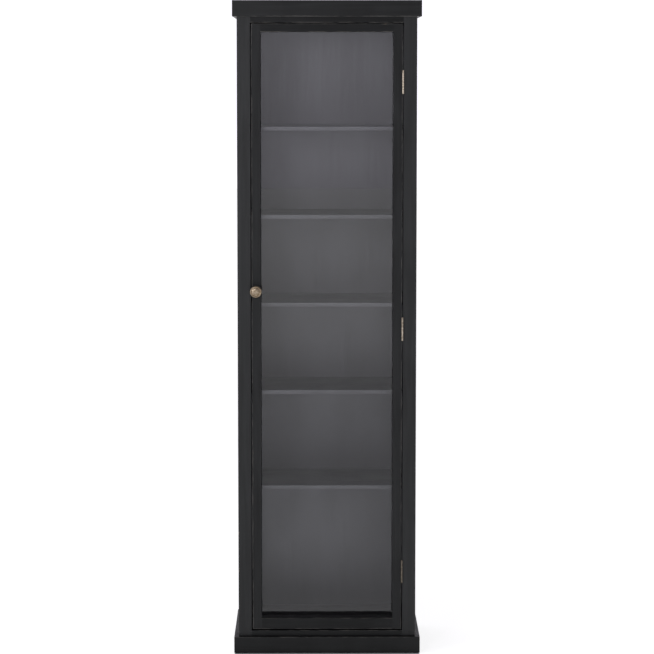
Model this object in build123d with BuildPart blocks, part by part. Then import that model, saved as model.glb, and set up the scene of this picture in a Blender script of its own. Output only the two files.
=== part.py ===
from build123d import *
import os

# Tower display case: a tall painted wooden cabinet with one inset glazed door,
# five loose shelves, an overhanging cap and a matching plinth.
# Units are millimetres. X runs across the front, Y runs from front to back and
# Z is up. The origin is on the floor, in the middle of the whole object's box.

os.makedirs("parts", exist_ok=True)

# ---------------------------------------------------------------- main sizes
HEIGHT = 2000.0  # floor to top of the cap
BODY_WIDTH = 545.0  # outside of the carcass
BODY_DEPTH = 386.0  # front of the face frame to the back
OVERHANG = 13.5  # cap and plinth stand out by this much
KNOB_REACH = 32.0  # front of the door to the tip of the knob
CAP_HEIGHT = 49.0
PLINTH_TOP = 52.0
GLIDE_HEIGHT = 2.0

# ------------------------------------------------------------- board sections
BOARD = 18.0  # side panels, top, bottom and rails inside
BACK_PANEL = 6.0
TRIM_BOARD = 20.0  # cap and plinth boards
ARRIS = 1.2  # radius of the eased edges
FRAME_DEPTH = 22.0  # thickness of the face frame
FRAME_STILE = 41.0  # visible width of the face frame's stiles
REBATE = 9.0  # back panel's rebate in the sides

# ----------------------------------------------------------------------- door
SIDE_GAP = 3.0
TOP_GAP = 3.0
BOTTOM_GAP = 4.0
DOOR_DEPTH = 54.0
DOOR_STILE = 27.5
DOOR_RAIL_TOP = 25.0
DOOR_RAIL_BOTTOM = 34.5
GLASS_RECESS = 47.0  # front of the door to the glass
GLASS = 3.0
GLASS_CLEARANCE = 1.0
GLAZING_REBATE = 9.0
KNOB_HEIGHT = 1121.0
KNOB_INSET = 12.5  # from the door's edge to the knob's middle

# -------------------------------------------------------------------- shelves
SHELF = 12.0
SHELF_TOPS = (513.0, 810.0, 1080.0, 1350.0, 1619.0)
SHELF_SIDE_PLAY = 1.0
SHELF_BACK_PLAY = 3.0
SHELF_FRONT_SETBACK = 57.0  # front of the face frame to the shelf's front edge
PIN_RADIUS = 2.5
PIN_DEPTH = 10.0
PIN_REACH = 8.0
PIN_PITCH = 30.0
PIN_INSET = 40.0  # from the shelf's front and back edges

# --------------------------------------------------------------------- hinges
HINGE_CENTRES = (254.5, 1004.5, 1754.5)
HINGE_NAMES = ("bottom", "middle", "top")
HINGE_LENGTH = 69.0
KNUCKLES = 5
KNUCKLE_PLAY = 0.2
BARREL_RADIUS = 2.7
BARREL_STANDOFF = 3.9  # axis in front of the face
HINGE_PIN_RADIUS = 1.25
PIN_TIP_RADIUS = 2.2
PIN_TIP = 1.5  # length of the button at each end of a pin
RUNNING_CLEARANCE = 0.05
LEAF = 1.6
LEAF_DEPTH = 18.0
LEAF_MORTISE = 1.0
SCREW_HEAD_RADIUS = 3.0
SCREW_HEAD_HEIGHT = 1.4
SCREW_RADIUS = 1.6
HINGE_SCREW_LENGTH = 14.0
HINGE_SCREW_OFFSETS = (-23.0, 0.0, 23.0)

# ------------------------------------------------- knob, catch and small parts
KNOB_RADIUS = 18.0
KNOB_NECK = 6.0
KNOB_SHOULDER = 17.0  # back of the knob's head, from the door
KNOB_RIM = 29.0  # front edge of the knob's rim, from the door
KNOB_EDGE = 3.0
KNOB_CROWN = KNOB_REACH - KNOB_RIM
CROWN_RADIUS = ((KNOB_RADIUS - KNOB_EDGE) ** 2 + KNOB_CROWN**2) / (2 * KNOB_CROWN)
ROSETTE_RADIUS = 11.0
ROSETTE = 2.5
KNOB_SCREW_RADIUS = 2.0
KNOB_SCREW_HEAD = 4.2
KNOB_SCREW_HEAD_HEIGHT = 2.4
KNOB_THREAD = 14.0
BACK_SCREW_LENGTH = 22.0
BACK_SCREW_HEIGHTS = (90.0, 390.0, 690.0, 990.0, 1290.0, 1590.0, 1890.0)
HANGING_RAIL = 24.0
WALL_SCREW_RADIUS = 2.75
WALL_SCREW_SPACING = 320.0
WALL_SCREW_HEIGHT = 1921.0
CAP_PANEL = 12.0
CAP_PANEL_EDGE = 10.0  # width of the cap's rim round its panel
CORNER_BLOCK = 40.0
GLIDE_RADIUS = 10.0
NAIL_RADIUS = 1.2
NAIL_LENGTH = 18.0
SHELF_ARRIS = 0.8
STOP_PLAY = 0.3
STOP_LAP = 12.0
STOP_HEIGHT = 26.0
CATCH_WIDTH = 30.0
CATCH_DEPTH = 14.0
CATCH_HEIGHT = 14.0
MAGNET_WIDTH = 20.0
MAGNET_HEIGHT = 6.0
STRIKE = 1.5
STRIKE_WIDTH = 24.0
STRIKE_HEIGHT = 14.0

# ------------------------------------------------------------- derived places
TOTAL_DEPTH = BODY_DEPTH + KNOB_REACH
FACE_Y = KNOB_REACH - TOTAL_DEPTH / 2  # front of the face frame and the door
BACK_Y = FACE_Y + BODY_DEPTH
TRIM_FRONT_Y = FACE_Y - OVERHANG
FRAME_BACK_Y = FACE_Y + FRAME_DEPTH
PANEL_FRONT_Y = BACK_Y - BACK_PANEL
BODY_X = BODY_WIDTH / 2
INSIDE_X = BODY_X - BOARD
OPENING_X = BODY_X - FRAME_STILE
TRIM_X = BODY_X + OVERHANG
BODY_TOP = HEIGHT - CAP_HEIGHT
BODY_HEIGHT = BODY_TOP - PLINTH_TOP
OPENING_LOW = PLINTH_TOP + BOARD
OPENING_HIGH = BODY_TOP - BOARD
DOOR_X = OPENING_X - SIDE_GAP
DOOR_LOW = OPENING_LOW + BOTTOM_GAP
DOOR_HIGH = OPENING_HIGH - TOP_GAP
DOOR_HEIGHT = DOOR_HIGH - DOOR_LOW
DOOR_BACK_Y = FACE_Y + DOOR_DEPTH
SIGHT_X = DOOR_X - DOOR_STILE
SIGHT_LOW = DOOR_LOW + DOOR_RAIL_BOTTOM
SIGHT_HIGH = DOOR_HIGH - DOOR_RAIL_TOP
KNOB_X = -DOOR_X + KNOB_INSET
GLASS_Y = FACE_Y + GLASS_RECESS
BEAD_Y = GLASS_Y + GLASS
SHELF_FRONT_Y = FACE_Y + SHELF_FRONT_SETBACK
SHELF_BACK_Y = PANEL_FRONT_Y - SHELF_BACK_PLAY
AXIS_X = OPENING_X - SIDE_GAP / 2
AXIS_Y = FACE_Y - BARREL_STANDOFF
PLATE_OFFSET = SIDE_GAP / 2 + LEAF_MORTISE - LEAF  # axis to the face of either leaf's plate
PLATE_X = {"frame": AXIS_X + PLATE_OFFSET, "door": AXIS_X - PLATE_OFFSET}

STANDING = (Align.CENTER, Align.CENTER, Align.MIN)
FRONT_LOW = (Align.CENTER, Align.MIN, Align.MIN)
LEFT_FRONT_LOW = (Align.MIN, Align.MIN, Align.MIN)
RIGHT_FRONT_LOW = (Align.MAX, Align.MIN, Align.MIN)
SIDES = {"left": -1, "right": 1}


def side_align(side):
    """Aligns a box so that it grows outwards from the middle on this side."""
    return LEFT_FRONT_LOW if side > 0 else RIGHT_FRONT_LOW


# --------------------------------------------------------------------- screws
# Countersunk wood screws. Their solids also cut their own holes in the boards.
with BuildPart() as hinge_screws_frame:
    for centre in HINGE_CENTRES:
        for offset in HINGE_SCREW_OFFSETS:
            mouth = (PLATE_X["frame"], FACE_Y + LEAF_DEPTH / 2, centre + offset)
            with Locations(Plane(mouth, x_dir=(0, 1, 0), z_dir=(1, 0, 0))):
                Cone(SCREW_HEAD_RADIUS, SCREW_RADIUS, SCREW_HEAD_HEIGHT, align=STANDING)
                Cylinder(SCREW_RADIUS, HINGE_SCREW_LENGTH, align=STANDING)
hinge_screws_frame.part.label = "hinge_screws_frame"
export_step(hinge_screws_frame.part, "parts/hinge_screws_frame.step")

with BuildPart() as hinge_screws_door:
    for centre in HINGE_CENTRES:
        for offset in HINGE_SCREW_OFFSETS:
            mouth = (PLATE_X["door"], FACE_Y + LEAF_DEPTH / 2, centre + offset)
            with Locations(Plane(mouth, x_dir=(0, 1, 0), z_dir=(-1, 0, 0))):
                Cone(SCREW_HEAD_RADIUS, SCREW_RADIUS, SCREW_HEAD_HEIGHT, align=STANDING)
                Cylinder(SCREW_RADIUS, HINGE_SCREW_LENGTH, align=STANDING)
hinge_screws_door.part.label = "hinge_screws_door"
export_step(hinge_screws_door.part, "parts/hinge_screws_door.step")

# Machine screw through the left door stile into the knob, pan head at the back.
with BuildPart() as knob_screw:
    with Locations(Plane((KNOB_X, DOOR_BACK_Y, KNOB_HEIGHT), x_dir=(1, 0, 0), z_dir=(0, -1, 0))):
        Cylinder(KNOB_SCREW_RADIUS, DOOR_DEPTH + KNOB_THREAD, align=STANDING)
        Cylinder(KNOB_SCREW_HEAD, KNOB_SCREW_HEAD_HEIGHT, align=(Align.CENTER, Align.CENTER, Align.MAX))
    fillet(knob_screw.edges().filter_by(GeomType.CIRCLE).sort_by(Axis.Y)[-1], KNOB_SCREW_HEAD_HEIGHT / 2)
knob_screw.part.label = "knob_screw"
export_step(knob_screw.part, "parts/knob_screw.step")

# Countersunk screws that hold the back panel in the sides' rebates.
with BuildPart() as back_panel_screws:
    for height in BACK_SCREW_HEIGHTS:
        for x in (-INSIDE_X - REBATE / 2, INSIDE_X + REBATE / 2):
            with Locations(Plane((x, BACK_Y, height), x_dir=(1, 0, 0), z_dir=(0, -1, 0))):
                Cone(SCREW_HEAD_RADIUS, SCREW_RADIUS, SCREW_HEAD_HEIGHT, align=STANDING)
                Cylinder(SCREW_RADIUS, BACK_SCREW_LENGTH, align=STANDING)
back_panel_screws.part.label = "back_panel_screws"
export_step(back_panel_screws.part, "parts/back_panel_screws.step")

# ---------------------------------------------------------------- shelf pins
# Steel pins, four under each shelf, in a column of blind holes near each edge.
PIN_COLUMNS = (SHELF_FRONT_Y + PIN_INSET, SHELF_BACK_Y - PIN_INSET)

with BuildPart() as shelf_pins:
    for shelf_top in SHELF_TOPS:
        for side in SIDES.values():
            for column in PIN_COLUMNS:
                middle = (side * INSIDE_X, column, shelf_top - SHELF - PIN_RADIUS)
                with Locations(Plane(middle, x_dir=(0, 1, 0), z_dir=(-side, 0, 0))):
                    Cylinder(PIN_RADIUS, PIN_DEPTH, align=(Align.CENTER, Align.CENTER, Align.MAX))
                    Cylinder(PIN_RADIUS, PIN_REACH, align=STANDING)
shelf_pins.part.label = "shelf_pins"
export_step(shelf_pins.part, "parts/shelf_pins.step")

# -------------------------------------------------------------------- carcass
for name, side in SIDES.items():
    with BuildPart() as side_panel:
        with Locations((side * INSIDE_X, FRAME_BACK_Y, PLINTH_TOP)):
            Box(BOARD, BACK_Y - FRAME_BACK_Y, BODY_HEIGHT, align=side_align(side))
        with Locations((side * INSIDE_X, PANEL_FRONT_Y, PLINTH_TOP)):
            Box(REBATE, BACK_PANEL, BODY_HEIGHT, align=side_align(side), mode=Mode.SUBTRACT)
        outer_back_edge = side_panel.edges().filter_by(Axis.Z).group_by(Axis.Y)[-1]
        fillet(outer_back_edge.sort_by(Axis.X)[-1 if side > 0 else 0], ARRIS)
        for shelf_top in SHELF_TOPS:
            for step in (-1, 0, 1):
                for column in PIN_COLUMNS:
                    mouth = (side * INSIDE_X, column, shelf_top - SHELF - PIN_RADIUS + step * PIN_PITCH)
                    with Locations(Plane(mouth, x_dir=(0, 1, 0), z_dir=(side, 0, 0))):
                        Cylinder(PIN_RADIUS, PIN_DEPTH, align=STANDING, mode=Mode.SUBTRACT)
        add(back_panel_screws.part, mode=Mode.SUBTRACT)
    side_panel.part.label = f"side_panel_{name}"
    export_step(side_panel.part, f"parts/side_panel_{name}.step")

with BuildPart() as top_board:
    with Locations((0, FRAME_BACK_Y, OPENING_HIGH)):
        Box(2 * INSIDE_X, PANEL_FRONT_Y - FRAME_BACK_Y, BOARD, align=FRONT_LOW)
top_board.part.label = "top_board"
export_step(top_board.part, "parts/top_board.step")

with BuildPart() as bottom_board:
    with Locations((0, FRAME_BACK_Y, PLINTH_TOP)):
        Box(2 * INSIDE_X, PANEL_FRONT_Y - FRAME_BACK_Y, BOARD, align=FRONT_LOW)
bottom_board.part.label = "bottom_board"
export_step(bottom_board.part, "parts/bottom_board.step")

# Hanging rail under the top board, with two holes for screws into the wall.
with BuildPart() as hanging_rail:
    with Locations((0, PANEL_FRONT_Y - BOARD, OPENING_HIGH - HANGING_RAIL)):
        Box(2 * INSIDE_X, BOARD, HANGING_RAIL, align=FRONT_LOW)
    with BuildSketch(Plane((0, BACK_Y, WALL_SCREW_HEIGHT), x_dir=(1, 0, 0), z_dir=(0, -1, 0))):
        with GridLocations(WALL_SCREW_SPACING, 0, 2, 1):
            Circle(WALL_SCREW_RADIUS)
    extrude(amount=BACK_PANEL + BOARD, mode=Mode.SUBTRACT)
hanging_rail.part.label = "hanging_rail"
export_step(hanging_rail.part, "parts/hanging_rail.step")

with BuildPart() as back_panel:
    with Locations((0, PANEL_FRONT_Y, PLINTH_TOP)):
        Box(2 * (INSIDE_X + REBATE), BACK_PANEL, BODY_HEIGHT, align=FRONT_LOW)
    with BuildSketch(Plane((0, BACK_Y, WALL_SCREW_HEIGHT), x_dir=(1, 0, 0), z_dir=(0, -1, 0))):
        with GridLocations(WALL_SCREW_SPACING, 0, 2, 1):
            Circle(WALL_SCREW_RADIUS)
    extrude(amount=BACK_PANEL, mode=Mode.SUBTRACT)
    add(back_panel_screws.part, mode=Mode.SUBTRACT)
back_panel.part.label = "back_panel"
export_step(back_panel.part, "parts/back_panel.step")

# ----------------------------------------------------------------- face frame
# A tapered plug eases the front edges right round the opening.
with BuildPart() as frame_easing:
    middle = (0, FACE_Y, (OPENING_LOW + OPENING_HIGH) / 2)
    with BuildSketch(Plane(middle, x_dir=(1, 0, 0), z_dir=(0, 1, 0))):
        Rectangle(2 * (OPENING_X + ARRIS), OPENING_HIGH - OPENING_LOW + 2 * ARRIS)
    extrude(amount=ARRIS, taper=45)

for name, side in SIDES.items():
    with BuildPart() as face_stile:
        with Locations((side * OPENING_X, FACE_Y, PLINTH_TOP)):
            Box(FRAME_STILE, FRAME_DEPTH, BODY_HEIGHT, align=side_align(side))
        front_edges = face_stile.edges().filter_by(Axis.Z).group_by(Axis.Y)[0]
        fillet(front_edges.sort_by(Axis.X)[-1 if side > 0 else 0], ARRIS)
        add(frame_easing.part, mode=Mode.SUBTRACT)
        if name == "right":
            for centre in HINGE_CENTRES:
                with Locations((OPENING_X, FACE_Y, centre - HINGE_LENGTH / 2)):
                    Box(LEAF_MORTISE, LEAF_DEPTH, HINGE_LENGTH, align=LEFT_FRONT_LOW, mode=Mode.SUBTRACT)
            add(hinge_screws_frame.part, mode=Mode.SUBTRACT)
    face_stile.part.label = f"face_stile_{name}"
    export_step(face_stile.part, f"parts/face_stile_{name}.step")

for name, low in {"top": OPENING_HIGH, "bottom": PLINTH_TOP}.items():
    with BuildPart() as face_rail:
        with Locations((0, FACE_Y, low)):
            Box(2 * OPENING_X, FRAME_DEPTH, BOARD, align=FRONT_LOW)
        add(frame_easing.part, mode=Mode.SUBTRACT)
    face_rail.part.label = f"face_rail_{name}"
    export_step(face_rail.part, f"parts/face_rail_{name}.step")

# ------------------------------------------------------------- cap and plinth
# Both are frames of boards on edge, mitred at the front corners.
TRIM_FRAMES = {"plinth": (GLIDE_HEIGHT, PLINTH_TOP), "cap": (BODY_TOP, HEIGHT)}
CAP_PANEL_X = TRIM_X - CAP_PANEL_EDGE
CAP_PANEL_FRONT_Y = TRIM_FRONT_Y + CAP_PANEL_EDGE
CAP_PANEL_DEPTH = BACK_Y - CAP_PANEL_FRONT_Y

for frame_name, (low, high) in TRIM_FRAMES.items():
    with BuildPart() as trim_front:
        with BuildSketch(Plane.XY.offset(low)):
            with BuildLine():
                Polyline(
                    (-TRIM_X, TRIM_FRONT_Y),
                    (TRIM_X, TRIM_FRONT_Y),
                    (TRIM_X - TRIM_BOARD, TRIM_FRONT_Y + TRIM_BOARD),
                    (-TRIM_X + TRIM_BOARD, TRIM_FRONT_Y + TRIM_BOARD),
                    close=True,
                )
            make_face()
        extrude(amount=high - low)
        fillet(trim_front.faces().sort_by(Axis.Y)[0].edges().filter_by(Axis.X), ARRIS)
        if frame_name == "cap":
            with Locations((0, CAP_PANEL_FRONT_Y, HEIGHT - CAP_PANEL)):
                Box(2 * CAP_PANEL_X, CAP_PANEL_DEPTH, CAP_PANEL, align=FRONT_LOW, mode=Mode.SUBTRACT)
    trim_front.part.label = f"{frame_name}_front"
    export_step(trim_front.part, f"parts/{frame_name}_front.step")

    for name, side in SIDES.items():
        with BuildPart() as trim_side:
            with BuildSketch(Plane.XY.offset(low)):
                with BuildLine():
                    Polyline(
                        (side * TRIM_X, TRIM_FRONT_Y),
                        (side * TRIM_X, BACK_Y),
                        (side * (TRIM_X - TRIM_BOARD), BACK_Y),
                        (side * (TRIM_X - TRIM_BOARD), TRIM_FRONT_Y + TRIM_BOARD),
                        close=True,
                    )
                make_face()
            extrude(amount=high - low)
            outer_face = trim_side.faces().sort_by(Axis.X)[-1 if side > 0 else 0]
            fillet(outer_face.edges().filter_by(Axis.Y), ARRIS)
            if frame_name == "cap":
                with Locations((0, CAP_PANEL_FRONT_Y, HEIGHT - CAP_PANEL)):
                    Box(2 * CAP_PANEL_X, CAP_PANEL_DEPTH, CAP_PANEL, align=FRONT_LOW, mode=Mode.SUBTRACT)
        trim_side.part.label = f"{frame_name}_side_{name}"
        export_step(trim_side.part, f"parts/{frame_name}_side_{name}.step")

    with BuildPart() as trim_back:
        rail_high = high - CAP_PANEL if frame_name == "cap" else high
        with Locations((0, BACK_Y - TRIM_BOARD, low)):
            Box(2 * (TRIM_X - TRIM_BOARD), TRIM_BOARD, rail_high - low, align=FRONT_LOW)
    trim_back.part.label = f"{frame_name}_back"
    export_step(trim_back.part, f"parts/{frame_name}_back.step")

# Panel let into the cap's rebate, flush with its top.
with BuildPart() as cap_panel:
    with Locations((0, CAP_PANEL_FRONT_Y, HEIGHT - CAP_PANEL)):
        Box(2 * CAP_PANEL_X, CAP_PANEL_DEPTH, CAP_PANEL, align=FRONT_LOW)
cap_panel.part.label = "cap_panel"
export_step(cap_panel.part, "parts/cap_panel.step")

# Glue blocks in the plinth's corners carry the carcass and hold the glides.
GLIDE_X = TRIM_X - TRIM_BOARD - CORNER_BLOCK / 2
GLIDE_FRONT_Y = TRIM_FRONT_Y + TRIM_BOARD + CORNER_BLOCK / 2
GLIDE_BACK_Y = BACK_Y - TRIM_BOARD - CORNER_BLOCK / 2
GLIDE_PLACES = [(x, y, 0) for x in (-GLIDE_X, GLIDE_X) for y in (GLIDE_FRONT_Y, GLIDE_BACK_Y)]

with BuildPart() as foot_glides:
    with Locations(*GLIDE_PLACES):
        Cylinder(GLIDE_RADIUS, GLIDE_HEIGHT, align=STANDING)
    fillet(foot_glides.edges().filter_by(GeomType.CIRCLE).group_by(Axis.Z)[0], GLIDE_HEIGHT / 2)
    with Locations(*GLIDE_PLACES):
        Cylinder(NAIL_RADIUS, NAIL_LENGTH, align=STANDING)
foot_glides.part.label = "foot_glides"
export_step(foot_glides.part, "parts/foot_glides.step")

with BuildPart() as plinth_blocks:
    for place in GLIDE_PLACES:
        with Locations((place[0], place[1], GLIDE_HEIGHT)):
            Box(CORNER_BLOCK, CORNER_BLOCK, PLINTH_TOP - GLIDE_HEIGHT, align=STANDING)
    add(foot_glides.part, mode=Mode.SUBTRACT)
plinth_blocks.part.label = "plinth_blocks"
export_step(plinth_blocks.part, "parts/plinth_blocks.step")

# -------------------------------------------------------------------- shelves
for number, shelf_top in enumerate(SHELF_TOPS, start=1):
    with BuildPart() as shelf:
        with Locations((0, SHELF_FRONT_Y, shelf_top - SHELF)):
            Box(2 * (INSIDE_X - SHELF_SIDE_PLAY), SHELF_BACK_Y - SHELF_FRONT_Y, SHELF, align=FRONT_LOW)
        fillet(shelf.edges().filter_by(Axis.X).group_by(Axis.Y)[0], SHELF_ARRIS)
    shelf.part.label = f"shelf_{number}"
    export_step(shelf.part, f"parts/shelf_{number}.step")

# ---------------------------------------------------------- stop and catch
# The stop block and the catch meet the closed door behind its left stile.
STOP_Y = DOOR_BACK_Y + STOP_PLAY
CATCH_X = -OPENING_X + DOOR_STILE

with BuildPart() as door_stop:
    with Locations((-INSIDE_X, STOP_Y, OPENING_LOW)):
        Box(INSIDE_X - OPENING_X + STOP_LAP, BOARD, STOP_HEIGHT, align=LEFT_FRONT_LOW)
door_stop.part.label = "door_stop"
export_step(door_stop.part, "parts/door_stop.step")

with BuildPart() as catch_magnet:
    with Locations((CATCH_X, STOP_Y + STRIKE, OPENING_HIGH - CATCH_HEIGHT / 2)):
        Box(MAGNET_WIDTH, CATCH_DEPTH / 2, MAGNET_HEIGHT, align=(Align.CENTER, Align.MIN, Align.CENTER))
catch_magnet.part.label = "catch_magnet"
export_step(catch_magnet.part, "parts/catch_magnet.step")

with BuildPart() as catch_housing:
    with Locations((CATCH_X, STOP_Y + STRIKE, OPENING_HIGH - CATCH_HEIGHT)):
        Box(CATCH_WIDTH, CATCH_DEPTH, CATCH_HEIGHT, align=FRONT_LOW)
    fillet(catch_housing.edges().filter_by(Axis.Z), ARRIS)
    add(catch_magnet.part, mode=Mode.SUBTRACT)
catch_housing.part.label = "catch_housing"
export_step(catch_housing.part, "parts/catch_housing.step")

with BuildPart() as strike_plate:
    with Locations((CATCH_X, DOOR_BACK_Y, DOOR_HIGH - STRIKE_HEIGHT)):
        Box(STRIKE_WIDTH, STRIKE, STRIKE_HEIGHT, align=FRONT_LOW)
    fillet(strike_plate.edges().filter_by(Axis.Y), ARRIS)
strike_plate.part.label = "strike_plate"
export_step(strike_plate.part, "parts/strike_plate.step")

# ----------------------------------------------------------------------- door
# Stiles run the full height, with the rails between them. A rebate along the
# inside of all four takes the glass and its beads from behind, and a tapered
# plug eases the front edges round the glass.
with BuildPart() as glass_pocket:
    with Locations((0, GLASS_Y, SIGHT_LOW - GLAZING_REBATE)):
        Box(
            2 * (SIGHT_X + GLAZING_REBATE),
            DOOR_DEPTH,
            SIGHT_HIGH - SIGHT_LOW + 2 * GLAZING_REBATE,
            align=FRONT_LOW,
        )

with BuildPart() as door_easing:
    middle = (0, FACE_Y, (SIGHT_LOW + SIGHT_HIGH) / 2)
    with BuildSketch(Plane(middle, x_dir=(1, 0, 0), z_dir=(0, 1, 0))):
        Rectangle(2 * (SIGHT_X + ARRIS), SIGHT_HIGH - SIGHT_LOW + 2 * ARRIS)
    extrude(amount=ARRIS, taper=45)

for name, side in SIDES.items():
    with BuildPart() as door_stile:
        with Locations((side * SIGHT_X, FACE_Y, DOOR_LOW)):
            Box(DOOR_STILE, DOOR_DEPTH, DOOR_HEIGHT, align=side_align(side))
        front_edges = door_stile.faces().sort_by(Axis.Y)[0].edges().sort_by(Axis.X)
        fillet(front_edges[1:] if side > 0 else front_edges[:-1], ARRIS)
        add(door_easing.part, mode=Mode.SUBTRACT)
        add(glass_pocket.part, mode=Mode.SUBTRACT)
        if name == "right":
            for centre in HINGE_CENTRES:
                with Locations((DOOR_X, FACE_Y, centre - HINGE_LENGTH / 2)):
                    Box(LEAF_MORTISE, LEAF_DEPTH, HINGE_LENGTH, align=RIGHT_FRONT_LOW, mode=Mode.SUBTRACT)
            add(hinge_screws_door.part, mode=Mode.SUBTRACT)
        else:
            add(knob_screw.part, mode=Mode.SUBTRACT)
    door_stile.part.label = f"door_stile_{name}"
    export_step(door_stile.part, f"parts/door_stile_{name}.step")

DOOR_RAILS = {"top": (SIGHT_HIGH, DOOR_RAIL_TOP), "bottom": (DOOR_LOW, DOOR_RAIL_BOTTOM)}
for name, (low, width) in DOOR_RAILS.items():
    with BuildPart() as door_rail:
        with Locations((0, FACE_Y, low)):
            Box(2 * SIGHT_X, DOOR_DEPTH, width, align=FRONT_LOW)
        front_edges = door_rail.edges().filter_by(Axis.X).group_by(Axis.Y)[0]
        fillet(front_edges.sort_by(Axis.Z)[-1 if name == "top" else 0], ARRIS)
        add(door_easing.part, mode=Mode.SUBTRACT)
        add(glass_pocket.part, mode=Mode.SUBTRACT)
    door_rail.part.label = f"door_rail_{name}"
    export_step(door_rail.part, f"parts/door_rail_{name}.step")

GLASS_X = SIGHT_X + GLAZING_REBATE - GLASS_CLEARANCE
GLASS_LOW = SIGHT_LOW - GLAZING_REBATE + GLASS_CLEARANCE
GLASS_HEIGHT = SIGHT_HIGH - SIGHT_LOW + 2 * (GLAZING_REBATE - GLASS_CLEARANCE)

with BuildPart() as door_glass:
    with Locations((0, GLASS_Y, GLASS_LOW)):
        Box(2 * GLASS_X, GLASS, GLASS_HEIGHT, align=FRONT_LOW)
door_glass.part.label = "door_glass"
export_step(door_glass.part, "parts/door_glass.step")

BEAD_DEPTH = DOOR_BACK_Y - BEAD_Y
BEAD_LOW = SIGHT_LOW - GLAZING_REBATE
BEAD_HIGH = SIGHT_HIGH + GLAZING_REBATE

for name, side in SIDES.items():
    with BuildPart() as side_bead:
        with Locations((side * SIGHT_X, BEAD_Y, BEAD_LOW)):
            Box(GLAZING_REBATE, BEAD_DEPTH, BEAD_HIGH - BEAD_LOW, align=side_align(side))
        inner_face = side_bead.faces().sort_by(Axis.X)[0 if side > 0 else -1]
        fillet(inner_face.edges().filter_by(Axis.Z).sort_by(Axis.Y)[-1], ARRIS)
    side_bead.part.label = f"glazing_bead_{name}"
    export_step(side_bead.part, f"parts/glazing_bead_{name}.step")

for name, low in {"top": SIGHT_HIGH, "bottom": BEAD_LOW}.items():
    with BuildPart() as rail_bead:
        with Locations((0, BEAD_Y, low)):
            Box(2 * SIGHT_X, BEAD_DEPTH, GLAZING_REBATE, align=FRONT_LOW)
        inner_face = rail_bead.faces().sort_by(Axis.Z)[0 if name == "top" else -1]
        fillet(inner_face.edges().filter_by(Axis.X).sort_by(Axis.Y)[-1], ARRIS)
    rail_bead.part.label = f"glazing_bead_{name}"
    export_step(rail_bead.part, f"parts/glazing_bead_{name}.step")

# ----------------------------------------------------------------------- knob
# Turned about an axis square to the door. The plane's X is the radius and its Y
# points out of the door.
KNOB_CENTRE = (KNOB_X, FACE_Y, KNOB_HEIGHT)
knob_plane = Plane(KNOB_CENTRE, x_dir=(1, 0, 0), z_dir=(0, 0, -1))
knob_axis = Axis(KNOB_CENTRE, (0, -1, 0))

with BuildPart() as knob_rosette:
    with BuildSketch(knob_plane):
        with Locations((ROSETTE_RADIUS / 2, ROSETTE / 2)):
            Rectangle(ROSETTE_RADIUS, ROSETTE)
    revolve(axis=knob_axis)
    fillet(knob_rosette.edges().filter_by(GeomType.CIRCLE).sort_by(Axis.Y)[0], ROSETTE / 2)
    add(knob_screw.part, mode=Mode.SUBTRACT)
knob_rosette.part.label = "knob_rosette"
export_step(knob_rosette.part, "parts/knob_rosette.step")

with BuildPart() as knob:
    with BuildSketch(knob_plane):
        with BuildLine():
            Line((0, ROSETTE), (KNOB_NECK + 2, ROSETTE))
            Bezier(
                (KNOB_NECK + 2, ROSETTE),
                (KNOB_NECK - 2, KNOB_SHOULDER / 2),
                (KNOB_NECK, KNOB_SHOULDER - 3),
                (KNOB_RADIUS - KNOB_EDGE, KNOB_SHOULDER),
            )
            ThreePointArc(
                (KNOB_RADIUS - KNOB_EDGE, KNOB_SHOULDER),
                (KNOB_RADIUS, (KNOB_SHOULDER + KNOB_RIM) / 2),
                (KNOB_RADIUS - KNOB_EDGE, KNOB_RIM),
            )
            RadiusArc((KNOB_RADIUS - KNOB_EDGE, KNOB_RIM), (0, KNOB_REACH), -CROWN_RADIUS)
            Line((0, KNOB_REACH), (0, ROSETTE))
        make_face()
    revolve(axis=knob_axis)
    add(knob_screw.part, mode=Mode.SUBTRACT)
knob.part.label = "knob"
export_step(knob.part, "parts/knob.step")

# --------------------------------------------------------------------- hinges
# Five knuckles: the first, third and fifth belong to the frame's leaf.
KNUCKLE = HINGE_LENGTH / KNUCKLES

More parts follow.
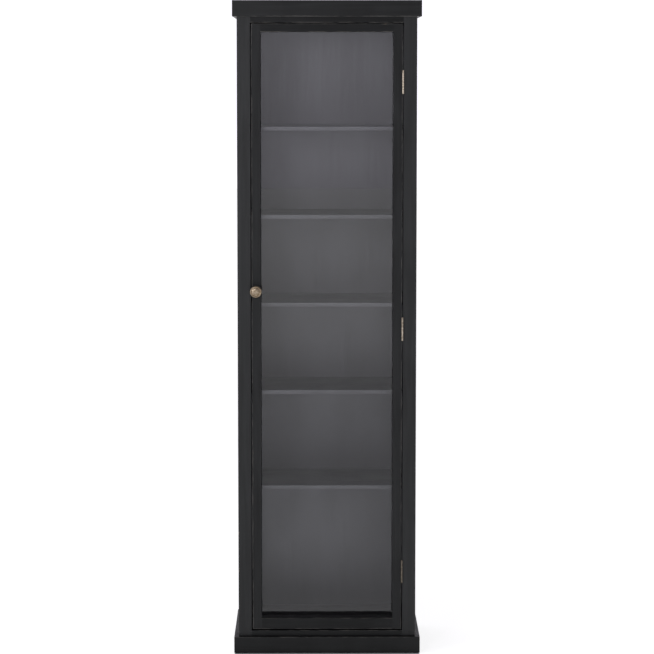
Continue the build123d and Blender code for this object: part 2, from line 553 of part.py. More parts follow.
for hinge_name, centre in zip(HINGE_NAMES, HINGE_CENTRES):
    hinge_low = centre - HINGE_LENGTH / 2
    for leaf_name, side, first in (("frame", 1, 0), ("door", -1, 1)):
        bore = HINGE_PIN_RADIUS + (RUNNING_CLEARANCE if leaf_name == "door" else 0)
        with BuildPart() as leaf:
            with Locations((PLATE_X[leaf_name], FACE_Y, hinge_low)):
                Box(LEAF, LEAF_DEPTH, HINGE_LENGTH, align=side_align(side))
            for index in range(first, KNUCKLES, 2):
                low = hinge_low + index * KNUCKLE + KNUCKLE_PLAY / 2
                high = low + KNUCKLE - KNUCKLE_PLAY
                with Locations((AXIS_X, AXIS_Y, low)):
                    Cylinder(BARREL_RADIUS, high - low, align=STANDING)
                with Locations((PLATE_X[leaf_name], AXIS_Y, low)):
                    Box(LEAF, BARREL_STANDOFF, high - low, align=side_align(side))
            with Locations((AXIS_X, AXIS_Y, centre)):
                Cylinder(bore, HINGE_LENGTH, mode=Mode.SUBTRACT)
            screws = hinge_screws_frame if leaf_name == "frame" else hinge_screws_door
            add(screws.part, mode=Mode.SUBTRACT)
        leaf.part.label = f"hinge_{hinge_name}_{leaf_name}_leaf"
        export_step(leaf.part, f"parts/hinge_{hinge_name}_{leaf_name}_leaf.step")

    with BuildPart() as hinge_pin:
        with Locations((AXIS_X, AXIS_Y, centre)):
            Cylinder(HINGE_PIN_RADIUS, HINGE_LENGTH)
        with Locations((AXIS_X, AXIS_Y, hinge_low - PIN_TIP), (AXIS_X, AXIS_Y, hinge_low + HINGE_LENGTH)):
            Cylinder(PIN_TIP_RADIUS, PIN_TIP, align=STANDING)
        tip_edges = hinge_pin.edges().filter_by(GeomType.CIRCLE).sort_by(Axis.Z)
        fillet([tip_edges[0], tip_edges[-1]], PIN_TIP * 0.8)
    hinge_pin.part.label = f"hinge_{hinge_name}_pin"
    export_step(hinge_pin.part, f"parts/hinge_{hinge_name}_pin.step")
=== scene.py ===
import math

import bmesh
import bpy
from mathutils import Matrix, Vector


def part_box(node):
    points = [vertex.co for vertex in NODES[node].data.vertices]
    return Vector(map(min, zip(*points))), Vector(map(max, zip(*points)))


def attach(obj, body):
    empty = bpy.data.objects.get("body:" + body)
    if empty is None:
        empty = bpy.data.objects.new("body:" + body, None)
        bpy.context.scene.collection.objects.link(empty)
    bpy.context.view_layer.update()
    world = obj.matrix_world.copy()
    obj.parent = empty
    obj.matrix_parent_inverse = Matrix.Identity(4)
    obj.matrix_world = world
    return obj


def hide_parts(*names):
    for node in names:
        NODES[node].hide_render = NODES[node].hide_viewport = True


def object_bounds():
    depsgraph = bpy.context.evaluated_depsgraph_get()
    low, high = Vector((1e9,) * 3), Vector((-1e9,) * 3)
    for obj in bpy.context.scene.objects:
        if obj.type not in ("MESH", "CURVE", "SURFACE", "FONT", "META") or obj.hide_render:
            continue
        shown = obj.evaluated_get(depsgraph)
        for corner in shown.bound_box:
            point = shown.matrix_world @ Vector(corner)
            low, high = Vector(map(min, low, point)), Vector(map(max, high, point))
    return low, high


# Tower display case. The boards, the glass, the hinges and the fittings are the
# CAD's own solids in painted wood, glass and metal. The knob, its rosette and
# all the screws are remade here with finer shapes. Everything is in metres.

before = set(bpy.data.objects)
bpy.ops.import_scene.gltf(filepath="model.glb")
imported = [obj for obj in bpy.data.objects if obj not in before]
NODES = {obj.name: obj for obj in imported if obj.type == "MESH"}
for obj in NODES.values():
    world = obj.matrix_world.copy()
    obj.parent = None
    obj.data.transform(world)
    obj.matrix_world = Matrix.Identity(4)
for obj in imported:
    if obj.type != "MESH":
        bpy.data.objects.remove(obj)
CAD_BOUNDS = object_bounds()
MM = 0.001

HIGH = Vector(CAD_BOUNDS[1])
TRIM_FRONT_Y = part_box("cap_front")[0][1]
INSIDE_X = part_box("side_panel_right")[0][0]
PANEL_FRONT_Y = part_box("back_panel")[0][1]
SHELF_FRONT_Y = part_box("shelf_1")[0][1]


# ------------------------------------------------------------ node materials
class Nodes:
    """A node tree, and short calls that add nodes to it."""

    def __init__(self, tree, coordinates):
        self.tree = tree
        self.coordinates = self.node("ShaderNodeTexCoord").outputs[coordinates]

    def node(self, kind, **settings):
        made = self.tree.nodes.new(kind)
        for key, value in settings.items():
            setattr(made, key, value)
        return made

    def feed(self, socket, value):
        if isinstance(value, bpy.types.NodeSocket):
            self.tree.links.new(value, socket)
        else:
            socket.default_value = value

    def maths(self, operation, *values, clamp=False):
        made = self.node("ShaderNodeMath", operation=operation, use_clamp=clamp)
        for socket, value in zip(made.inputs, values):
            self.feed(socket, value)
        return made.outputs[0]

    def split(self):
        """The X, Y and Z of the coordinates."""
        made = self.node("ShaderNodeSeparateXYZ")
        self.feed(made.inputs[0], self.coordinates)
        return made.outputs

    def between(self, value, low, high, to_low=0.0, to_high=1.0):
        """A smooth step from to_low to to_high as the value goes from low to high."""
        made = self.node("ShaderNodeMapRange", interpolation_type="SMOOTHSTEP")
        self.feed(made.inputs["Value"], value)
        for name, number in (("From Min", low), ("From Max", high), ("To Min", to_low), ("To Max", to_high)):
            made.inputs[name].default_value = number
        return made.outputs[0]

    def camera_rays(self):
        """One for what a camera ray meets first, nought for the light that lands on things."""
        return self.node("ShaderNodeLightPath").outputs["Is Camera Ray"]


class Surface(Nodes):
    """One node material: a Principled shader, and nodes in the piece's own coordinates."""

    def __init__(self, name):
        self.material = bpy.data.materials.new(name)
        self.material.use_nodes = True
        super().__init__(self.material.node_tree, "Object")
        self.shader = self.tree.nodes["Principled BSDF"]

    def stretched(self, scale, offset=(0.0, 0.0, 0.0)):
        """The coordinates, scaled along each axis and shifted."""
        made = self.node("ShaderNodeMapping")
        self.feed(made.inputs["Vector"], self.coordinates)
        made.inputs["Scale"].default_value = scale
        made.inputs["Location"].default_value = offset
        return made.outputs[0]

    def noise(self, vector, scale, detail=3.0, roughness=0.5, distortion=0.0):
        made = self.node("ShaderNodeTexNoise")
        self.feed(made.inputs["Vector"], vector)
        made.inputs["Scale"].default_value = scale
        made.inputs["Detail"].default_value = detail
        made.inputs["Roughness"].default_value = roughness
        made.inputs["Distortion"].default_value = distortion
        return made.outputs["Fac"]

    def mixed(self, share, first, second):
        made = self.node("ShaderNodeMix", data_type="RGBA")
        self.feed(made.inputs["Factor"], share)
        first_colour, second_colour = made.inputs[6:8]
        self.feed(first_colour, first)
        self.feed(second_colour, second)
        return made.outputs[2]

    def bump(self, height, distance, strength):
        made = self.node("ShaderNodeBump")
        self.feed(made.inputs["Height"], height)
        made.inputs["Distance"].default_value = distance
        made.inputs["Strength"].default_value = strength
        return made.outputs[0]

    def set(self, **values):
        """Feeds the shader's sockets. Underscores in the names stand for spaces."""
        for name, value in values.items():
            self.feed(self.shader.inputs[name.replace("_", " ")], value)


def grey(level, warmth=0.0):
    return (level * (1 + warmth), level, level * (1 - warmth), 1.0)


def scaled(colour, share):
    """A colour times a number, with its alpha left at one."""
    return tuple(channel * share for channel in colour) + (1.0,)


def edge_distance(surface, low, high):
    """Distance along a board's face to its nearest long or short edge, from the board's box.

    On the box's surface one of the three distances to its faces is nought, so
    the middle one is the distance to the edge.
    """
    place = surface.split()
    gaps = []
    for axis in range(3):
        from_low = surface.maths("SUBTRACT", place[axis], low[axis])
        from_high = surface.maths("SUBTRACT", high[axis], place[axis])
        gaps.append(surface.maths("MAXIMUM", surface.maths("MINIMUM", from_low, from_high), 0.0))
    total = surface.maths("ADD", surface.maths("ADD", gaps[0], gaps[1]), gaps[2])
    largest = surface.maths("MAXIMUM", surface.maths("MAXIMUM", gaps[0], gaps[1]), gaps[2])
    smallest = surface.maths("MINIMUM", surface.maths("MINIMUM", gaps[0], gaps[1]), gaps[2])
    return surface.maths("SUBTRACT", surface.maths("SUBTRACT", total, largest), smallest)


def lines_the_case(surface):
    """One on the faces that line the case, nought on those that face the room."""
    place = surface.split()
    beside = surface.between(surface.maths("ABSOLUTE", place[0]), INSIDE_X, INSIDE_X + MM, 1.0, 0.0)
    before = surface.between(place[1], PANEL_FRONT_Y, PANEL_FRONT_Y + MM, 1.0, 0.0)
    return surface.maths("MULTIPLY", beside, before)


def faces_the_room(surface):
    return surface.maths("SUBTRACT", 1.0, lines_the_case(surface))


def shelf_front(surface):
    """One on the front edge of a shelf, where the paint is lighter: a painted highlight."""
    return surface.between(surface.split()[1], SHELF_FRONT_Y, SHELF_FRONT_Y + MM, 1.0, 0.0)


# Ends and edges where a board runs into its neighbour, which show no wear: the
# low and the high side along each axis.
FAR = 1.0
FREE_SIDES = ((0, 0, 0), (0, 0, 0))
BOTH_ENDS = ((FAR, 0, 0), (FAR, 0, 0))
JOINED_SIDES = {
    "face_stile_left": ((0, 0, FAR), (FAR, 0, FAR)),
    "face_stile_right": ((FAR, 0, FAR), (0, 0, FAR)),
    "face_rail_top": ((FAR, 0, 0), (FAR, 0, FAR)),
    "face_rail_bottom": ((FAR, 0, FAR), (FAR, 0, 0)),
    "door_stile_left": ((0, 0, 0), (FAR, 0, 0)),
    "door_stile_right": ((FAR, 0, 0), (0, 0, 0)),
    "door_rail_top": BOTH_ENDS,
    "door_rail_bottom": BOTH_ENDS,
}


def free_box(board):
    """A board's box, pushed far out on the sides that join other boards."""
    low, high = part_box(board)
    below, above = JOINED_SIDES.get(board, FREE_SIDES)
    return Vector(low) - Vector(below), Vector(high) + Vector(above)


# Noise in the paint: scale, detail, roughness and distortion.
FIBRES = (420.0, 4.0, 0.62, 0.2)
STROKES = (95.0, 3.0, 0.55, 0.6)
CLOUDS = (7.5, 4.0, 0.55, 0.3)
SPECKS = (900.0, 2.0, 0.5)
RUBBING = (34.0, 5.0, 0.65)
NICKS = (61.0, 3.0, 0.7)

EVEN = (1.0, 1.0, 1.0)
GRAIN_STRETCH = 0.045  # along the board, for the fibres and the brush strokes
CLOUD_STRETCH = (1.0, 1.0, 0.45)

# The paint is a little bluish, and darkest where the film is thin.
THIN_PAINT, THIN_WARMTH = 0.008, -0.04
THICK_PAINT, THICK_WARMTH = 0.016, -0.05
RUBBED_PAINT = grey(0.105, 0.06)
BARE_WOOD = (0.17, 0.14, 0.11, 1.0)
RUBBED_SHARE = 0.55
RUBBED_WIDTHS = (0.6 * MM, 3.4 * MM)
NICK_ZONE = (1.0 * MM, 4.0 * MM)  # how far in from an edge the nicks thin out
GLOSS = 0.42
PAINT_SPECULAR = 0.3
PAINT_RELIEF = 0.35 * MM


def paint_coat(surface, shade, tone):
    thin = grey(THIN_PAINT * tone, THIN_WARMTH)
    thick = grey(THICK_PAINT * tone, THICK_WARMTH)
    return surface.mixed(shade, thin, thick)


def painted_wood(name, low, high, tone=1.0, wear=1.0, seed=0.0, relief_strength=0.5, painted_light_faces=None):
    """Satin black paint brushed over wood, with its grain along the board's longest side.

    The paint is as light as its tone, and as glossy: a tone above one is painted light,
    below one painted shade. Some boards have a second tone of painted light and shade
    on faces given by a function that makes its mask, and the number. Paint that is darker there is less
    glossy too.
    """
    surface = Surface(name)
    size = [high[axis] - low[axis] for axis in range(3)]
    along = list(EVEN)
    along[size.index(max(size))] = GRAIN_STRETCH
    shift = (seed * 1.7, seed * 2.3, seed * 0.9)
    stroke_shift = (shift[1], shift[2], shift[0])
    nick_shift = (shift[2], shift[0], shift[1])
    fibres = surface.noise(surface.stretched(along, shift), *FIBRES)
    strokes = surface.noise(surface.stretched(along, stroke_shift), *STROKES)
    clouds = surface.noise(surface.stretched(CLOUD_STRETCH, shift), *CLOUDS)
    specks = surface.noise(surface.stretched(EVEN, shift), *SPECKS)

    film = surface.between(clouds, 0.35, 0.68)
    streak = surface.between(strokes, 0.38, 0.66)
    shade = surface.maths("MULTIPLY_ADD", streak, 0.45, surface.maths("MULTIPLY", film, 0.4), clamp=True)
    paint = paint_coat(surface, shade, tone)
    if painted_light_faces:
        mask, other = painted_light_faces
        there = mask(surface)
        paint = surface.mixed(there, paint, paint_coat(surface, shade, other))
        if other < tone:
            surface.set(Specular_Tint=surface.mixed(there, grey(1.0), grey(other / tone)))

    edge = edge_distance(surface, low, high)
    rub_noise = surface.noise(surface.stretched(EVEN, shift), *RUBBING)
    rubbed_width = surface.between(rub_noise, 0.36, 0.7, *RUBBED_WIDTHS)
    across = surface.maths("DIVIDE", edge, rubbed_width)
    rubbed = surface.maths("MULTIPLY", surface.maths("SUBTRACT", 1.0, across, clamp=True), wear)
    paint = surface.mixed(surface.maths("MULTIPLY", rubbed, RUBBED_SHARE), paint, RUBBED_PAINT)

    nick_noise = surface.noise(surface.stretched(EVEN, nick_shift), *NICKS)
    near_edge = surface.between(edge, *NICK_ZONE, 1.0, 0.0)
    nicks = surface.maths("MULTIPLY", surface.between(nick_noise, 0.69, 0.72), near_edge)
    nicks = surface.maths("MULTIPLY", nicks, wear)
    paint = surface.mixed(nicks, paint, BARE_WOOD)

    sheen = surface.maths("MULTIPLY_ADD", film, -0.07, GLOSS)
    sheen = surface.maths("MULTIPLY_ADD", surface.between(fibres, 0.3, 0.7), 0.09, sheen)
    sheen = surface.maths("MULTIPLY_ADD", nicks, 0.3, sheen, clamp=True)

    relief = surface.maths("MULTIPLY_ADD", strokes, 0.6, surface.maths("MULTIPLY", fibres, 0.4))
    relief = surface.maths("MULTIPLY_ADD", specks, 0.05, relief)
    relief = surface.maths("MULTIPLY_ADD", nicks, -1.2, relief)
    surface.set(
        Base_Color=paint,
        Roughness=sheen,
        Normal=surface.bump(relief, PAINT_RELIEF, relief_strength),
        Specular_IOR_Level=PAINT_SPECULAR * tone,
    )
    return surface.material


GLASS_IOR = 1.52
CLEAN_GLASS = (0.97, 0.97, 0.985, 1.0)
SMEARED_GLASS = (0.945, 0.945, 0.96, 1.0)
POLISH = 0.004
HAZE = 0.02  # roughness that the film adds


def clear_glass():
    """Thin float glass: what lies behind, plus what its face mirrors."""
    surface = Surface("float_glass")
    tree = surface.tree
    tree.nodes.remove(surface.shader)
    smears = surface.noise(surface.stretched((1.0, 1.0, 0.35)), 5.0, 4.0, 0.6, 0.8)
    film = surface.noise(surface.stretched(EVEN), 60.0, 3.0, 0.6)
    through = surface.node("ShaderNodeBsdfTransparent")
    tint = surface.mixed(surface.between(smears, 0.3, 0.75), CLEAN_GLASS, SMEARED_GLASS)
    surface.feed(through.inputs["Color"], tint)
    mirror = surface.node("ShaderNodeBsdfGlossy")
    mirror.inputs["Color"].default_value = grey(1.0)
    haze = surface.maths("MULTIPLY_ADD", surface.between(film, 0.45, 0.75), HAZE, POLISH)
    surface.feed(mirror.inputs["Roughness"], haze)
    fresnel = surface.node("ShaderNodeFresnel")
    fresnel.inputs["IOR"].default_value = GLASS_IOR
    mix = surface.node("ShaderNodeMixShader")
    for socket, source in zip(mix.inputs, (fresnel, through, mirror)):
        surface.feed(socket, source.outputs[0])
    surface.feed(tree.nodes["Material Output"].inputs["Surface"], mix.outputs[0])
    return surface.material


METAL_RELIEF = 0.12 * MM


def antique_metal(name, bright, dark, roughness, scale, seed=0.0):
    """Old plated metal: bright where it is handled, brown and dull in patches."""
    surface = Surface(name)
    shift = (seed, seed * 0.7, seed * 1.9)
    patches = surface.noise(surface.stretched(EVEN, shift), scale * 2.2, 5.0, 0.62, 0.5)
    grain = surface.noise(surface.stretched(EVEN, shift), scale * 14.0, 3.0, 0.6)
    dullness = surface.between(patches, 0.36, 0.66)
    rough = surface.maths("MULTIPLY_ADD", dullness, 0.22, roughness)
    rough = surface.maths("MULTIPLY_ADD", surface.between(grain, 0.35, 0.65), 0.08, rough, clamp=True)
    relief = surface.maths("MULTIPLY_ADD", patches, 0.7, surface.maths("MULTIPLY", grain, 0.3))
    surface.set(
        Base_Color=surface.mixed(dullness, bright, dark),
        Roughness=rough,
        Normal=surface.bump(relief, METAL_RELIEF, 0.5),
        Metallic=1.0,
    )
    return surface.material


def moulded_plastic(name, level):
    """Dark moulded plastic with a fine spark-eroded texture."""
    surface = Surface(name)
    clouds = surface.noise(surface.coordinates, 25.0, 3.0)
    texture = surface.noise(surface.coordinates, 1500.0, 2.0)
    surface.set(
        Base_Color=surface.mixed(clouds, grey(level * 0.8), grey(level * 1.25)),
        Roughness=surface.between(clouds, 0.3, 0.7, 0.42, 0.58),
        Normal=surface.bump(texture, 0.05 * MM, 0.6),
    )
    return surface.material


FRESH_WOOD = (0.50, 0.36, 0.21, 1.0)
WOOD_RINGS = (0.36, 0.23, 0.12, 1.0)


def sawn_wood(name, grain_axis):
    """Unpainted softwood, as on the plinth's glue blocks."""
    surface = Surface(name)
    along = list(EVEN)
    along[grain_axis] = 0.08
    rings = surface.noise(surface.stretched(along), 60.0, 4.0, 0.6, 1.2)
    fibres = surface.noise(surface.stretched(along), 500.0, 3.0, 0.6)
    surface.set(
        Base_Color=surface.mixed(surface.between(rings, 0.35, 0.65), FRESH_WOOD, WOOD_RINGS),
        Roughness=surface.between(fibres, 0.3, 0.7, 0.62, 0.82),
        Normal=surface.bump(fibres, 0.3 * MM, 0.6),
    )
    return surface.material


# -------------------------------------------------------------- CAD materials
def dress(node_name, material):
    """Gives a CAD node this material in each of its slots."""
    node = NODES[node_name]
    if not node.material_slots:
        node.data.materials.append(material)
    for slot in node.material_slots:
        slot.material = material


# How light each board's paint is, against one plain coat. The numbers bring the
# boards to the photograph's greys under this scene's light, so they hold some of
# its light and shade.
# Painted light and shade: the back panel, hanging rail and shelves are painted several times lighter, as if
# lit inside, and the bottom board and the bottom glazing bead darker, as if in shade.
PAINTED_BOARDS = {
    "cap_front": 0.74, "cap_side_left": 0.95, "cap_side_right": 0.8, "cap_back": 0.9, "cap_panel": 0.95,
    "plinth_front": 0.64, "plinth_side_left": 0.8, "plinth_side_right": 0.75, "plinth_back": 0.85,
    "side_panel_left": 1.1, "side_panel_right": 1.05, "top_board": 0.95, "bottom_board": 0.3,
    "back_panel": 3.6, "hanging_rail": 2.4, "face_stile_left": 1.0, "face_stile_right": 0.97,
    "face_rail_top": 0.57, "face_rail_bottom": 0.6, "door_stile_left": 0.75, "door_stile_right": 0.75,
    "door_rail_top": 0.57, "door_rail_bottom": 0.58, "door_stop": 0.9,
    "glazing_bead_left": 0.95, "glazing_bead_right": 1.0, "glazing_bead_top": 0.9,
    "glazing_bead_bottom": 0.2,
    "shelf_1": 3.0, "shelf_2": 3.3, "shelf_3": 3.3, "shelf_4": 3.3, "shelf_5": 3.2,
}
# Painted light on some boards' faces: the faces lining the case and the shelves' front edges are painted
# lighter, as if lit, and the back panel's lighter tone stops at its face to the room.
PAINTED_LIGHT_FACES = {
    "back_panel": (faces_the_room, 1.1), "side_panel_left": (lines_the_case, 2.4),
    "side_panel_right": (lines_the_case, 2.4), "top_board": (lines_the_case, 2.4),
    "shelf_1": (shelf_front, 6.2), "shelf_2": (shelf_front, 6.1), "shelf_3": (shelf_front, 6.3),
    "shelf_4": (shelf_front, 6.0), "shelf_5": (shelf_front, 6.0),
}
SHELTERED = (
    "back_panel", "top_board", "bottom_board", "hanging_rail", "door_stop",
    "glazing_bead_left", "glazing_bead_right", "glazing_bead_top", "glazing_bead_bottom",
)
SHELTERED_WEAR = 0.25
SMOOTH_RELIEF = {"back_panel": 0.04}
BRUSHED_RELIEF = 0.5
SEED_STEP = 0.37

for index, (board, tone) in enumerate(PAINTED_BOARDS.items()):
    board_low, board_high = free_box(board)
    wear = SHELTERED_WEAR if board in SHELTERED else 1.0
    strength = SMOOTH_RELIEF.get(board, BRUSHED_RELIEF)
    seed = SEED_STEP * (index + 1)
    painted_light_faces = PAINTED_LIGHT_FACES.get(board)
    paint = painted_wood("paint_" + board, board_low, board_high, tone, wear, seed, strength, painted_light_faces)
    dress(board, paint)

# Each metal where it is bright and where it is dull, and how light each hinge's
# brass is, which follows the photograph as the boards' tones do.
HINGE_BRIGHT, HINGE_DULL = (0.62, 0.54, 0.44), (0.34, 0.28, 0.21)
STEEL_BRIGHT, STEEL_DULL = (0.66, 0.66, 0.67, 1.0), (0.45, 0.45, 0.46, 1.0)
KNOB_BRIGHT, KNOB_DULL = (0.54, 0.44, 0.325, 1.0), (0.30, 0.225, 0.14, 1.0)
# These tones are painted light and shade: lit and shaded copies of one brass, the bottom hinge painted much
# darker than the top.
HINGE_PAINTED_LIGHT = {"top": 1.35, "middle": 1.1, "bottom": 0.37}

hinge_metals = {}
for hinge, share in HINGE_PAINTED_LIGHT.items():
    bright, dull = scaled(HINGE_BRIGHT, share), scaled(HINGE_DULL, share)
    hinge_metals[hinge] = antique_metal("hinge_brass_" + hinge, bright, dull, 0.34, 90.0, seed=share)
plated_steel = antique_metal("plated_steel", STEEL_BRIGHT, STEEL_DULL, 0.3, 120.0)
knob_metal = antique_metal("knob_brass", KNOB_BRIGHT, KNOB_DULL, 0.3, 70.0, seed=3.1)

for hinge, metal in hinge_metals.items():
    for part in ("frame_leaf", "door_leaf", "pin"):
        dress("hinge_%s_%s" % (hinge, part), metal)
for fitting in ("shelf_pins", "strike_plate", "catch_magnet"):
    dress(fitting, plated_steel)
dress("foot_glides", moulded_plastic("glide_plastic", 0.05))
dress("catch_housing", moulded_plastic("catch_plastic", 0.025))
dress("plinth_blocks", sawn_wood("sawn_softwood", 2))
dress("door_glass", clear_glass())


# ------------------------------------------------------------- remade pieces
def rounded(points, steps=5):
    """A Catmull-Rom curve through the points of a profile."""
    points = [Vector(point) for point in points]
    ends = [points[0] * 2 - points[1]] + points + [points[-1] * 2 - points[-2]]
    curve = []
    for before, start, end, after in zip(ends, ends[1:], ends[2:], ends[3:]):
        square = 2 * before - 5 * start + 4 * end - after
        cube = 3 * start - before - 3 * end + after
        for step in range(steps):
            t = step / steps
            bent = square * t**2 + cube * t**3
            curve.append(start + ((end - before) * t + bent) / 2)
    return curve + [points[-1]]


def circle(radius, segments):
    turns = [2 * math.pi * index / segments for index in range(segments)]
    return [(radius * math.cos(turn), radius * math.sin(turn)) for turn in turns]


def add_ring(mesh, place, corners):
    """Adds a ring of corners to the bmesh, given about the origin, at its place."""
    return [mesh.verts.new(place @ Vector(corner)) for corner in corners]


def skin(mesh, rings):
    """Adds the faces between each ring and the next, and one across each end."""
    for upper, lower in zip(rings, rings[1:]):
        for index in range(len(upper)):
            following = (index + 1) % len(upper)
            mesh.faces.new((upper[following], upper[index], lower[index], lower[following]))
    mesh.faces.new(rings[0])
    mesh.faces.new(rings[-1][::-1])


def lathe(mesh, profile, place, segments=96):
    """Turns (radius, depth) pairs about Z, with depth down from the origin, and places them."""
    rings = []
    for radius, depth in profile:
        rings.append(add_ring(mesh, place, [(x, y, -depth) for x, y in circle(radius, segments)]))
    skin(mesh, rings)


def finished(mesh, name, material, body, slot, *replaced):
    """Makes the bmesh an object that rides on a body in place of some CAD nodes."""
    bmesh.ops.recalc_face_normals(mesh, faces=mesh.faces)
    data = bpy.data.meshes.new(name)
    mesh.to_mesh(data)
    mesh.free()
    data.materials.append(material)
    for polygon in data.polygons:
        polygon.use_smooth = len(polygon.vertices) == 4
    piece = bpy.data.objects.new(name, data)
    bpy.context.collection.objects.link(piece)
    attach(piece, body)
    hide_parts(*replaced)
    return piece


def facing(centre, direction):
    """Places something made about Z at the centre, with +Z turned to the direction."""
    return Matrix.Translation(centre) @ Vector(direction).to_track_quat("Z", "Y").to_matrix().to_4x4()


# Radius and depth behind the front, in millimetres. The knob's face has a rolled
# rim, a groove and a low dome, and a waisted neck behind.
KNOB_PROFILE = (
    (0.4, 0.0), (4.0, 0.15), (7.5, 0.6), (10.4, 1.4), (12.1, 2.3), (12.8, 3.0), (13.4, 2.8),
    (14.2, 1.8), (15.2, 1.4), (16.3, 1.9), (17.2, 3.2), (17.8, 5.4), (18.0, 8.0), (17.7, 10.8),
    (16.5, 13.1), (14.2, 14.6), (10.6, 15.4), (7.3, 16.6), (5.4, 18.7), (4.9, 21.5), (5.4, 24.5),
    (6.6, 27.4), (7.9, 29.4),
)
ROSETTE_PROFILE = (
    (7.0, 0.05), (8.3, 0.1), (8.9, 0.5), (9.4, 0.9), (10.1, 1.0), (10.7, 1.35), (10.95, 1.9),
    (10.95, 2.5),
)


def turned_piece(node, profile, material, slot):
    """Turns a profile on the axis of a CAD node that it replaces, fitted to the node's radius."""
    low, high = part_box(node)
    radius = (high.x - low.x) / 2
    scale = radius / max(point[0] for point in profile)
    depth_scale = (high.y - low.y) / profile[-1][1]
    fitted = [(point[0] * scale, point[1] * depth_scale) for point in profile]
    mesh = bmesh.new()
    place = facing(((low.x + high.x) / 2, low.y, (low.z + high.z) / 2), (0, -1, 0))
    lathe(mesh, rounded(fitted), place)
    return finished(mesh, node + "_turned", material, "door", slot, node)


WELD = 0.001 * MM


def islands(node):
    """The boxes of the separate solids in one CAD node."""
    welded = bmesh.new()
    welded.from_mesh(NODES[node].data)
    bmesh.ops.remove_doubles(welded, verts=welded.verts, dist=WELD)
    waiting = set(welded.verts)
    boxes = []
    while waiting:
        reached = {waiting.pop()}
        front = list(reached)
        while front:
            beside = {edge.other_vert(vert) for vert in front for edge in vert.link_edges} - reached
            reached |= beside
            front = list(beside)
        waiting -= reached
        corners = [vert.co.copy() for vert in reached]
        low = Vector(min(corner[axis] for corner in corners) for axis in range(3))
        high = Vector(max(corner[axis] for corner in corners) for axis in range(3))
        boxes.append((low, high))
    welded.free()
    return sorted(boxes, key=lambda found: tuple(found[0]))


# The driver's cross, as shares of the head's radius, and how steep its walls are.
CROSS_REACH = 0.62
CROSS_WIDTH = 0.17
CROSS_DEPTH = 0.45
CROSS_WALL = 0.35
CROSS_TAPER = 0.55

# How high a head's dome is, as a share of its radius, and how finely it is made.
PAN_DOME = 0.25
FLUSH_DOME = 0.05
SCREW_SEGMENTS = 48
CROWN_RINGS = 14


def cross_recess(x, y, reach, width):
    """How deep the driver's cross goes at one place on a head, from 0 to 1."""
    along, across = max(abs(x), abs(y)), min(abs(x), abs(y))
    if along > reach or across > width:
        return 0.0
    return min(1.0, (width - across) / (CROSS_WALL * width)) * (1.0 - CROSS_TAPER * along / reach)


def screw_head(mesh, place, radius, dome, under):
    """A crosshead: a low dome with a cross sunk in it, and its rim down to the surface it sits in."""
    recess, reach, width = CROSS_DEPTH * radius, CROSS_REACH * radius, CROSS_WIDTH * radius
    rings = []
    for ring in range(1, CROWN_RINGS + 1):
        crown = []
        for x, y in circle(radius * ring / CROWN_RINGS, SCREW_SEGMENTS):
            height = -dome * (ring / CROWN_RINGS) ** 2 - recess * cross_recess(x, y, reach, width)
            crown.append((x, y, height))
        rings.append(add_ring(mesh, place, crown))
    for depth, share in under:
        rim = circle(share * radius, SCREW_SEGMENTS)
        rings.append(add_ring(mesh, place, [(x, y, -depth) for x, y in rim]))
    skin(mesh, rings)


def screws(node, heads_face, body, material, pan=False):
    """Remakes each screw of a CAD node, its head towards one side, with a cross in the head."""
    mesh = bmesh.new()
    direction = Vector(heads_face)
    for low, high in islands(node):
        middle, half = (low + high) / 2, (high - low) / 2
        length = 2 * abs(half.dot(direction))
        radius = min(half[axis] for axis in range(3) if not direction[axis])
        top = middle + direction * length / 2
        # Rings under the head's rim, down to the screw's end: a depth, and a share of the radius.
        if pan:
            under = ((0.5 * radius, 1.0), (0.57 * radius, 0.97), (0.57 * radius, 0.48), (length, 0.47))
            dome = PAN_DOME * radius
        else:
            under = ((0.12 * radius, 0.97), (0.46 * radius, 0.54), (0.9 * length, 0.53), (length, 0.12))
            dome = FLUSH_DOME * radius
        screw_head(mesh, facing(top, heads_face), radius, dome, under)
    return finished(mesh, node + "_crossheads", material, body, "steel_screws", node)


turned_piece("knob", KNOB_PROFILE, knob_metal, "knob_brass")
turned_piece("knob_rosette", ROSETTE_PROFILE, knob_metal, "knob_brass")
screws("hinge_screws_frame", (-1, 0, 0), "cabinet", hinge_metals["top"])
screws("hinge_screws_door", (1, 0, 0), "door", hinge_metals["top"])
screws("back_panel_screws", (0, 1, 0), "cabinet", plated_steel)
screws("knob_screw", (0, 1, 0), "door", plated_steel, pan=True)

# ------------------------------------------------------------------- the room
# The floor glows so that it reads as white paper, and not at all under the case; its glow fades out close
# round the base, a painted contact shadow.
# It lights the case less from near the front, where the glass would mirror it. A
# camera ray meets it at its full background level everywhere but in the painted contact shadow.
FLOOR_SIZE = 60.0
FLOOR_WHITE = grey(0.86)
FLOOR_BACKGROUND = 0.8
FLOOR_NEAR = 0.31
FLOOR_FAR = 0.62

# Where the floor's light changes, along Y, and how far from the case it starts: the painted contact shadow.
FAR_LIGHT_Y = (-12.0, -3.5)
REAR_LIGHT_Y = (-1.0, -0.15)
FRONT_FADE = 0.035
BACK_FADE = 0.02
SIDE_FADE = 0.003


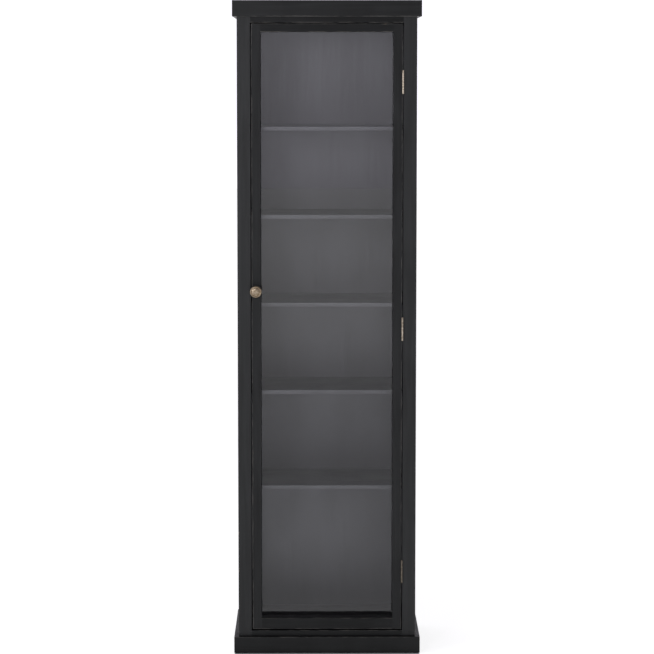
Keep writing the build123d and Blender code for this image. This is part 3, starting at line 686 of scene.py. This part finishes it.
def stage_floor():
    bpy.ops.mesh.primitive_plane_add(size=FLOOR_SIZE, location=(0, 0, 0))
    floor = bpy.context.object
    floor.name = "studio_floor"
    surface = Surface("studio_floor")
    place = surface.split()
    far = surface.between(place[1], *FAR_LIGHT_Y, FLOOR_FAR, FLOOR_NEAR)
    glow = surface.between(place[1], *REAR_LIGHT_Y, 0.0, FLOOR_BACKGROUND - FLOOR_NEAR)
    thrown = surface.maths("ADD", far, glow)
    seen = surface.maths("MULTIPLY", surface.camera_rays(), FLOOR_BACKGROUND)

    before = surface.between(place[1], TRIM_FRONT_Y - FRONT_FADE, TRIM_FRONT_Y, 1.0, 0.0)
    behind = surface.between(place[1], HIGH.y, HIGH.y + BACK_FADE)
    beside = surface.between(surface.maths("ABSOLUTE", place[0]), HIGH.x - SIDE_FADE, HIGH.x)
    clear_of_painted_shadow = surface.maths("MAXIMUM", surface.maths("MAXIMUM", before, behind), beside)

    strength = surface.maths("MULTIPLY", surface.maths("MAXIMUM", thrown, seen), clear_of_painted_shadow)
    surface.set(Base_Color=FLOOR_WHITE, Roughness=0.9, Specular_IOR_Level=0.1)
    surface.set(Emission_Color=grey(1.0), Emission_Strength=strength)
    floor.data.materials.append(surface.material)
    return floor


# The world's light: near the horizon, overhead, from the left, from the right,
# what is added behind the case, and what a camera ray meets.
WORLD_HORIZON = 0.9
WORLD_ZENITH = 0.14
WORLD_LEFT = 1.25
WORLD_RIGHT = 0.72
WORLD_BEHIND = 0.3
WORLD_BACKGROUND = 1.2
WORLD_COLOUR = (0.94, 0.92, 1.0, 1.0)


def studio_world():
    """A white studio. It lights the case from round the horizon, less from overhead, more from the left."""
    world = bpy.data.worlds.new("studio")
    world.use_nodes = True
    nodes = Nodes(world.node_tree, "Generated")
    direction = nodes.split()
    overhead = nodes.between(direction[2], 0.03, 0.32, WORLD_HORIZON, WORLD_ZENITH)
    sideways = nodes.between(direction[0], -1.0, 1.0, WORLD_LEFT, WORLD_RIGHT)
    behind = nodes.between(direction[1], 0.0, 0.5, 0.0, WORLD_BEHIND)
    thrown = nodes.maths("ADD", nodes.maths("MULTIPLY", overhead, sideways), behind)
    seen = nodes.between(nodes.camera_rays(), 0.0, 1.0, 0.0, WORLD_BACKGROUND)
    background = nodes.tree.nodes["Background"]
    nodes.feed(background.inputs["Strength"], nodes.maths("MAXIMUM", thrown, seen))
    background.inputs["Color"].default_value = WORLD_COLOUR
    bpy.context.scene.world = world


def area_light(name, place, target, size, power, colour=(1.0, 1.0, 1.0)):
    lamp = bpy.data.lights.new(name, "AREA")
    lamp.shape = "RECTANGLE"
    lamp.size, lamp.size_y = size
    lamp.energy = power
    lamp.color = colour
    holder = bpy.data.objects.new(name, lamp)
    bpy.context.collection.objects.link(holder)
    holder.location = place
    aim = Vector(target) - Vector(place)
    holder.rotation_euler = aim.to_track_quat("-Z", "Y").to_euler()
    return holder


# Soft boxes: place, what they face, width and height, power and colour.
SOFT_BOXES = {
    "left_soft_box": ((-3.2, -3.0, 2.2), (0.0, 0.0, 1.0), (1.6, 2.4), 25.0, (0.94, 0.97, 1.0)),
    "upper_left_soft_box": ((-1.15, -3.2, 2.15), (0.0, 0.0, 1.95), (0.7, 0.7), 12.0, (0.96, 0.95, 1.0)),
}

# Lamps for the light that the white floor throws up into the case, most of it
# close in front: their middle along Y, their depth and their power. The glass
# mirrors the floor itself, so these are kept out of reflections.
FLOOR_BOUNCES = {"near": (-1.5, 2.2, 100.0), "far": (-4.4, 3.6, 205.0)}
BOUNCE_X = -0.9
BOUNCE_Z = 0.006
BOUNCE_WIDTH = 7.0

stage_floor()
studio_world()
for name, settings in SOFT_BOXES.items():
    area_light(name, *settings)
for nearness, (middle, depth, power) in FLOOR_BOUNCES.items():
    place, above = (BOUNCE_X, middle, BOUNCE_Z), (BOUNCE_X, middle, 1.0)
    bounce = area_light("floor_bounce_" + nearness, place, above, (BOUNCE_WIDTH, depth), power)
    bounce.visible_glossy = False
    bounce.visible_camera = False

# ----------------------------------------------------------------- the camera
CAMERA_DISTANCE = 7.6  # from the front of the cap and plinth
CAMERA_HEIGHT = 1.7975
CAMERA_ASIDE = -0.045
CAMERA_PITCH = math.radians(5.8975)
FOCAL_PIXELS = 2510.0
IMAGE_WIDTH = 654.0
SENSOR = 36.0

camera_data = bpy.data.cameras.new("camera")
camera = bpy.data.objects.new("camera", camera_data)
bpy.context.collection.objects.link(camera)
camera_data.sensor_width = SENSOR
camera_data.lens = FOCAL_PIXELS / IMAGE_WIDTH * SENSOR
camera_data.clip_end = 100.0
camera.location = (CAMERA_ASIDE, TRIM_FRONT_Y - CAMERA_DISTANCE, CAMERA_HEIGHT)
yaw = math.atan2(-CAMERA_ASIDE, CAMERA_DISTANCE)
camera.rotation_euler = (math.pi / 2 - CAMERA_PITCH, 0.0, -yaw)
bpy.context.scene.camera = camera
bpy.context.scene.view_settings.view_transform = "Standard"
